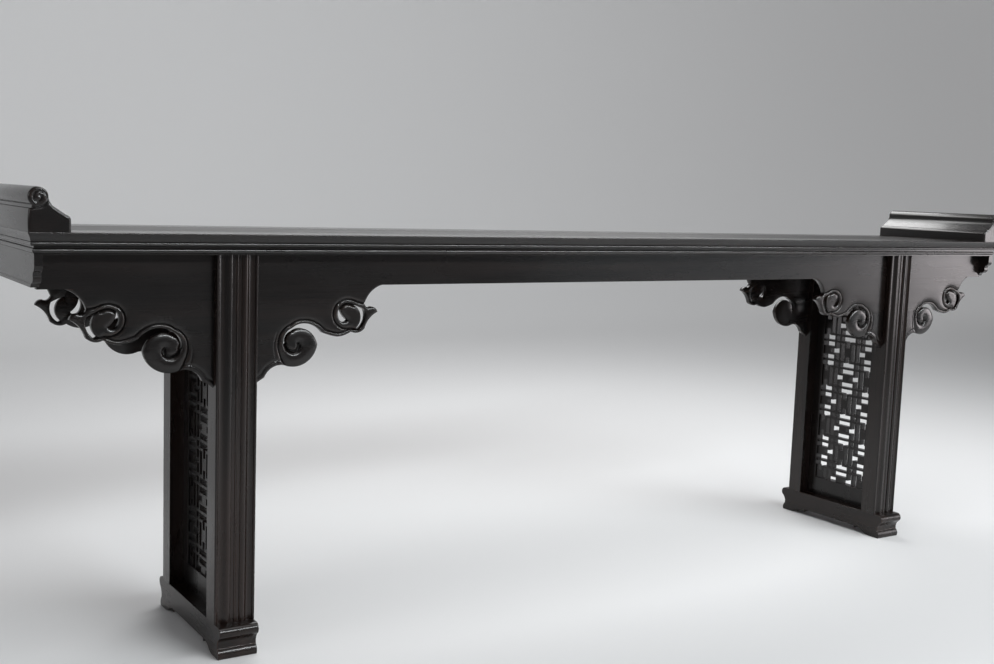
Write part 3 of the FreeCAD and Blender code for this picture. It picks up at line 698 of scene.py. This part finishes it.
# Round the large volute, by angle: radius of its groove, and reach of the rounding inside and outside it
GROOVE_RADII = (
    (0, 15, 60, 105, 190, 245, 275, 300, 330, 360),
    (60, 58, 36, 26.2, 23.7, 23.5, 21.5, 18, 0, 60))
REACH_INSIDE = ((0, 60, 105, 190, 300, 360), (19, 17, 13, 11, 12, 19))
REACH_OUTSIDE = ((0, 105, 150, 190, 225, 260, 290, 360), (4.2, 4.2, 5.5, 8, 13, 18, 19, 19))
RIBBON_REACH = 4.2
RIBBON_RADIUS = 72
KNOB_REACH = 10.5
KNOB_RADII = (32, 35)

# Roundings, as reach and depth
PLAIN_EDGE = (3.0, 2.2)
CURL_EDGE = (7.0, 3.2)
SCALLOP_EDGE = (5.0, 3.0)
BACK_EDGE = (1.2, 1.0)
DEPTH_BASE = 1.6
DEPTH_PER_REACH = 0.19
DEEPEST_REACH = 19
BLEND_POWER = 4
GROUND_DEPTH = 1.1
GROUND_FADE = 9
SCALLOP_LINE_IN = 11.0
SCALLOP_LINE_CUT = (2.0, 1.2)
PIT_PLACE = complex(8, -13)
PIT_CUT = (4.2, 4.0)
DEEPEST_CUT = 9.0

# Rows of points along edges and furrows, and the spacing of the even field
FRONT_ROWS = (0.25, 0.8, 1.7, 3.0, 4.6)
FRONT_SPACING = 2.6
FURROW_ROWS = (-2.4, -1.1, 0.0, 1.1, 2.4)
BACK_ROWS = (0.4, 1.3)
BACK_SPACING = 24.0


def ground_mask(spots):
    """1 on the flat ground above the ribbon and between the volutes, 0 on what is carved round."""
    detour = [
        complex(DETOUR_NEAR, DETOUR_LOW), complex(DETOUR_FAR, DETOUR_LOW),
        complex(DETOUR_FAR, FURROWS["curled"][0].imag)]
    carved = inside_loop(spots, FURROWS["curled"] + FURROWS["rim"][1:] + detour)
    away = np.minimum(distances(spots, FURROWS["curled"]), distances(spots, FURROWS["rim"]))
    return smoothstep(np.where(carved, -away, away), -GROUND_BLEND, GROUND_BLEND)


def body_reach(spots):
    """How wide the rounding of the carving is at each point.

    It grows as the ribbon widens into its volute."""
    arm = spots - shared(LARGE_VOLUTE)[0]
    turn = np.degrees(np.angle(arm)) % 360
    radius = np.abs(arm)
    inner = np.interp(turn, *REACH_INSIDE)
    outer = np.interp(turn, *REACH_OUTSIDE)
    reach = np.where(radius < np.interp(turn, *GROOVE_RADII), inner, outer)
    knob = 1 - smoothstep(np.abs(spots - shared(SMALL_VOLUTE)[0]), *KNOB_RADII)
    reach = np.where(radius > RIBBON_RADIUS, RIBBON_REACH, reach)
    return reach + knob * (KNOB_REACH - reach)


def spandrel_relief(spots):
    """Carving of the front: rounded volutes, a raised rim along the ribbon, furrows that wind in."""
    lines = {name: distances(spots, furrow_line) for name, furrow_line in FURROWS.items()}
    edges = {name: distances(spots, CURVES[name]) for name in CURVES if name != "seat"}
    for name in ("crescent", "comma"):
        edges[name] = distances(spots, CURVES[name] + CURVES[name][:1])
    large = shared(LARGE_VOLUTE)[0]
    reach = body_reach(spots)
    carved = np.minimum.reduce([
        edges["ribbon"], edges["body"], edges["crescent"], edges["comma"],
        lines["winding"], lines["curled"], lines["coiled"]])
    ground = ground_mask(spots)
    depth = DEPTH_BASE + DEPTH_PER_REACH * np.minimum(reach, DEEPEST_REACH)
    raised = (1 - ground) * rounding(np.minimum(carved, lines["rim"]), reach, depth)
    layers = [
        rounding(edges["plain"], *PLAIN_EDGE),
        rounding(edges["curl"], *CURL_EDGE),
        rounding(edges["scallops"], *SCALLOP_EDGE),
        raised,
    ]
    bulk = sum(layer ** BLEND_POWER for layer in layers) ** (1 / BLEND_POWER)
    sunk = ground * GROUND_DEPTH * np.exp(-np.minimum(lines["rim"], lines["curled"]) / GROUND_FADE)
    cuts = sum(furrow(lines[name], *cut) for name, cut in FURROW_CUTS.items())
    cuts += furrow(edges["scallops"] - SCALLOP_LINE_IN, *SCALLOP_LINE_CUT) * ground
    pit = furrow(np.abs(spots - large - PIT_PLACE), *PIT_CUT)
    return np.minimum(bulk + sunk + cuts + pit, DEEPEST_CUT)


def spandrel_back(spots):
    free = [CURVES[name] for name in CURVES if name != "seat"]
    nearest = np.min([distances(spots, curve) for curve in free], axis=0)
    return rounding(nearest, *BACK_EDGE)


def make_spandrels():
    def front_points(loops):
        return filling(loops, FRONT_ROWS, FRONT_SPACING, FURROWS.values(), FURROW_ROWS)

    def back_points(loops):
        return filling(loops, BACK_ROWS, BACK_SPACING)

    front = (front_points, spandrel_relief)
    back = (back_points, spandrel_back)
    plate = carved_plate(SPANDREL_LOOPS, SPANDREL_THICKNESS, front, back)
    for name in nodes:
        if not name.startswith("spandrel"):
            continue
        low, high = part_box(name)
        outward = 1 if (low[0] > 0) == name.endswith("outer") else -1
        seat_x = low[0] + SPANDREL_TAB * MM if outward > 0 else high[0] - SPANDREL_TAB * MM
        faced = 1 if low[1] > 0 else -1
        face_y = high[1] if faced > 0 else low[1]
        top = high[2] - SPANDREL_TONGUE * MM

        def place(x, y, z):
            return seat_x + outward * x * MM, face_y + faced * z * MM, top + y * MM

        carved_piece(name, plate, place, scroll_wood)


# Everted flanges: X runs inward from the board's end, Y up from the board

FLANGE_ROLL = 20 + 65.5j
FLANGE_ROLL_RADIUS = 19.0
ROLL_ANGLES = (-125, -237.5, 10)
FLANGE_BASE, FLANGE_NECK, FLANGE_NOTCH = 1.5 + 0j, 2.8 + 43j, 7.8 + 44.3j
SLOPE_END, SHOULDER_HIGH, SHOULDER_LOW, FLANGE_INNER = 50 + 47j, 70.5 + 33j, 79.5 + 24j, 79.5 + 0j
OUTSIDE_BULGE = 1.3
OUTSIDE_STEP = 2.0
SLOPE_SAG = 3.5
SHOULDER_BULGE = 1.8
FLANGE_SEAT_STEP = 4.0
FLANGE_FURROW = [
    1 + 45j, 10 + 45.5j, 20 + 46.5j, 29 + 49.5j, 35 + 57j, 35.5 + 66j, 30 + 74j, 21 + 76.5j, 12.5 + 72j,
    10.5 + 64j, 15 + 57.5j, 22 + 58j, 25.5 + 64j, 22 + 68.5j]
FLANGE_FURROW_CUT = (1.7, 2.6)
FLANGE_EDGE = (5.5, 5.5)
FLANGE_ROWS = (0.15, 0.5, 1.1, 2.0, 3.2, 4.6)
FLANGE_SPACING = 2.4


def flange_curves():
    """The flange's section in two stretches: all that shows, and the flat that sits on the board."""
    roll_start, roll_middle, roll_end = (
        FLANGE_ROLL + cmath.rect(FLANGE_ROLL_RADIUS, math.radians(angle)) for angle in ROLL_ANGLES)
    shown = bulged(FLANGE_BASE, FLANGE_NECK, OUTSIDE_BULGE, OUTSIDE_STEP)
    shown += straight(FLANGE_NECK, FLANGE_NOTCH, OUTLINE_STEP)
    shown += straight(FLANGE_NOTCH, roll_start, OUTLINE_STEP)
    shown += arc_through(roll_start, roll_middle, roll_end, OUTLINE_STEP)
    shown += bulged(roll_end, SLOPE_END, -SLOPE_SAG, OUTLINE_STEP)
    shown += straight(SLOPE_END, SHOULDER_HIGH, OUTLINE_STEP)
    shown += bulged(SHOULDER_HIGH, SHOULDER_LOW, SHOULDER_BULGE, OUTLINE_STEP)
    shown += straight(SHOULDER_LOW, FLANGE_INNER, OUTLINE_STEP) + [FLANGE_INNER]
    return shown, straight(FLANGE_INNER, FLANGE_BASE, FLANGE_SEAT_STEP)[1:]


def make_flanges():
    """Flanges with rounded end grain and a furrow that winds into each roll."""
    shown, seat = flange_curves()
    furrow_line = smooth_line(FLANGE_FURROW, FINE_STEP)

    def end_relief(spots):
        cut = furrow(distances(spots, furrow_line), *FLANGE_FURROW_CUT)
        return rounding(distances(spots, shown), *FLANGE_EDGE) + cut

    def end_points(loops):
        return filling(loops, FLANGE_ROWS, FLANGE_SPACING)

    low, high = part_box("flange_right")
    length = (high[1] - low[1]) / MM
    side = (end_points, end_relief)
    plate = carved_plate([shown + seat], length, side, side)
    board_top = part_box("top_panel")[1][2]
    for name, way in (("flange_right", 1), ("flange_left", -1)):
        board_end = way * cad_high[0]

        def place(x, y, z):
            return board_end - way * x * MM, low[1] - z * MM, board_top + y * MM

        carved_piece(name, plate, place, flange_wood)


make_spandrels()
make_flanges()

FINISH = {
    "top_front_rail": board_wood,
    "top_rear_rail": board_wood,
    "top_end_rail_left": cross_wood,
    "top_end_rail_right": cross_wood,
    "top_panel": panel_wood,
    "end_board_left": cross_wood,
    "end_board_right": cross_wood,
    "foot_left": foot_wood,
    "foot_right": foot_wood,
}
apron_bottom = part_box("apron_front")[0][2]
spandrel_span = (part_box("spandrel_front_right_inner")[0][0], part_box("spandrel_front_right_outer")[1][0])
LEVEL_TOLERANCE = 0.1 * MM


def meets_spandrel(edge):
    """Edges of an apron's underside where it carries the spandrels."""
    middle = (edge.verts[0].co + edge.verts[1].co) / 2
    level = all(abs(corner.co.z - apron_bottom) < LEVEL_TOLERANCE for corner in edge.verts)
    return level and spandrel_span[0] < abs(middle.x) < spandrel_span[1]


for name in nodes:
    if name.startswith(("spandrel", "flange")):
        continue
    if name.startswith("apron"):
        places = [side * place for side in (-1, 1) for place in spandrel_span]
        softened(name, front_wood, cuts=places, kept=meets_spandrel)
    elif name in FINISH:
        softened(name, FINISH[name])
    elif name.startswith("leg"):
        softened(name, leg_wood)
    elif name.startswith(("lattice", "side")):
        softened(name, lattice_wood, width=FINE_ARRIS_WIDTH)
    else:
        softened(name, cross_wood)


# Stage, in metres

PAPER_GREY = (0.74, 0.74, 0.74, 1.0)
PAPER_ROUGHNESS = 0.8
PAPER_SPECULAR = 0.1
GLOW_COLOUR = (1.0, 1.0, 1.0, 1.0)
GLOW_STRENGTH = 0.20
GLOW_RISE = (0.8, 5.5)
FLOOR_SIDES = (-14.0, 18.0)
FLOOR_FRONT = -9.0
CURVE_START = 4.5
CURVE_RADIUS = 2.5
CURVE_STEPS = 16
BACKDROP_HEIGHT = 9.0


def studio_paper():
    """Pale matt paper, lit up a little far behind the table."""
    material = bpy.data.materials.new("studio_paper")
    material.use_nodes = True
    tree = material.node_tree
    shader = tree.nodes["Principled BSDF"]
    shader.inputs["Base Color"].default_value = PAPER_GREY
    shader.inputs["Roughness"].default_value = PAPER_ROUGHNESS
    shader.inputs["Specular IOR Level"].default_value = PAPER_SPECULAR
    shader.inputs["Emission Color"].default_value = GLOW_COLOUR
    geometry = tree.nodes.new("ShaderNodeNewGeometry")
    parts = tree.nodes.new("ShaderNodeSeparateXYZ")
    link(tree, geometry.outputs["Position"], parts.inputs["Vector"])
    path = tree.nodes.new("ShaderNodeLightPath").outputs
    seen = plus(tree, plus(tree, path["Is Camera Ray"], path["Is Glossy Ray"]), path["Is Transmission Ray"])
    behind = masked(tree, *GLOW_RISE, parts.outputs["Y"])
    glow = times(tree, mapped(tree, seen, 0.0, GLOW_STRENGTH), behind)
    link(tree, glow, shader.inputs["Emission Strength"])
    return material


def sweep_floor():
    """Pale floor that curves up into a backdrop."""
    profile = [(FLOOR_FRONT, 0.0), (CURVE_START, 0.0)]
    for step in range(1, CURVE_STEPS + 1):
        turn = math.radians(90 * step / CURVE_STEPS)
        profile.append((CURVE_START + CURVE_RADIUS * math.sin(turn), CURVE_RADIUS * (1 - math.cos(turn))))
    profile.append((CURVE_START + CURVE_RADIUS, BACKDROP_HEIGHT))
    vertices = [(x, y, z) for y, z in profile for x in FLOOR_SIDES]
    faces = []
    for number in range(len(profile) - 1):
        a = 2 * number
        faces.append((a, a + 1, a + 3, a + 2))
    data = bpy.data.meshes.new("studio_floor")
    data.from_pydata(vertices, [], faces)
    for face in data.polygons:
        face.use_smooth = True
    data.materials.append(studio_paper())
    floor = bpy.data.objects.new("studio_floor", data)
    bpy.context.scene.collection.objects.link(floor)


def softbox(name, place, target, size, power, colour=(1.0, 1.0, 1.0), spread=180):
    data = bpy.data.lights.new(name, "AREA")
    data.shape = "RECTANGLE"
    data.spread = math.radians(spread)
    data.size, data.size_y = size
    data.energy = power
    data.color = colour
    lamp = bpy.data.objects.new(name, data)
    lamp.location = place
    lamp.rotation_euler = (Vector(target) - Vector(place)).to_track_quat("-Z", "Y").to_euler()
    bpy.context.scene.collection.objects.link(lamp)


sweep_floor()
softbox(
    "key_right", place=(4.9, -2.2, 1.05), target=(1.1, -0.1, 0.75), size=(1.6, 1.6), power=13.0,
    colour=(1.0, 0.94, 0.96), spread=90)
softbox(
    "wall_right", place=(3.0, -2.9, 0.9), target=(0.4, 0.0, 0.8), size=(2.2, 1.5), power=5.0,
    colour=(0.85, 0.95, 1.0))
softbox(
    "window_front", place=(1.9, -3.8, 2.9), target=(0.7, 0.0, 0.8), size=(5.0, 0.3), power=105.0,
    colour=(0.94, 0.98, 1.0), spread=120)
softbox("back_soft", place=(0.9, 2.1, 3.1), target=(1.1, 0.0, 0.9), size=(3.4, 0.9), power=70.0)
softbox("fill_left", place=(-4.5, -0.6, 1.8), target=(-1.4, 0.0, 0.8), size=(1.4, 1.4), power=16.0)
softbox("top_soft", place=(0.3, -0.4, 3.6), target=(0.0, 0.0, 0.9), size=(3.5, 1.6), power=38.0)

AMBIENT_COLOUR = (0.95, 0.96, 1.0, 1.0)
AMBIENT_STRENGTH = 0.17
world = bpy.data.worlds.new("studio")
bpy.context.scene.world = world
world.use_nodes = True
background = world.node_tree.nodes["Background"]
background.inputs["Color"].default_value = AMBIENT_COLOUR
background.inputs["Strength"].default_value = AMBIENT_STRENGTH


# Camera, fitted to the photograph's edges

FOCAL_PIXELS = 1222.35
YAW, PITCH, ROLL = 0.5745, -0.1162, 0.0356
SENSOR_WIDTH = 36.0
CAMERA_PLACE = (-1.9530, -2.5846, 1.0091)
camera_data = bpy.data.cameras.new("camera")
camera_data.sensor_fit = "HORIZONTAL"
camera_data.sensor_width = SENSOR_WIDTH
camera_data.lens = FOCAL_PIXELS * SENSOR_WIDTH / PHOTO_WIDTH
camera = bpy.data.objects.new("camera", camera_data)
forward = Vector((math.sin(YAW) * math.cos(PITCH), math.cos(YAW) * math.cos(PITCH), math.sin(PITCH)))
right = Vector((math.cos(YAW), -math.sin(YAW), 0.0))
up = right.cross(forward)
right, up = (
    right * math.cos(ROLL) + up * math.sin(ROLL),
    up * math.cos(ROLL) - right * math.sin(ROLL),
)
turn = Matrix((right, up, -forward)).transposed().to_4x4()
camera.matrix_world = Matrix.Translation(CAMERA_PLACE) @ turn
bpy.context.scene.collection.objects.link(camera)
bpy.context.scene.camera = camera
bpy.context.scene.view_settings.view_transform = "Standard"
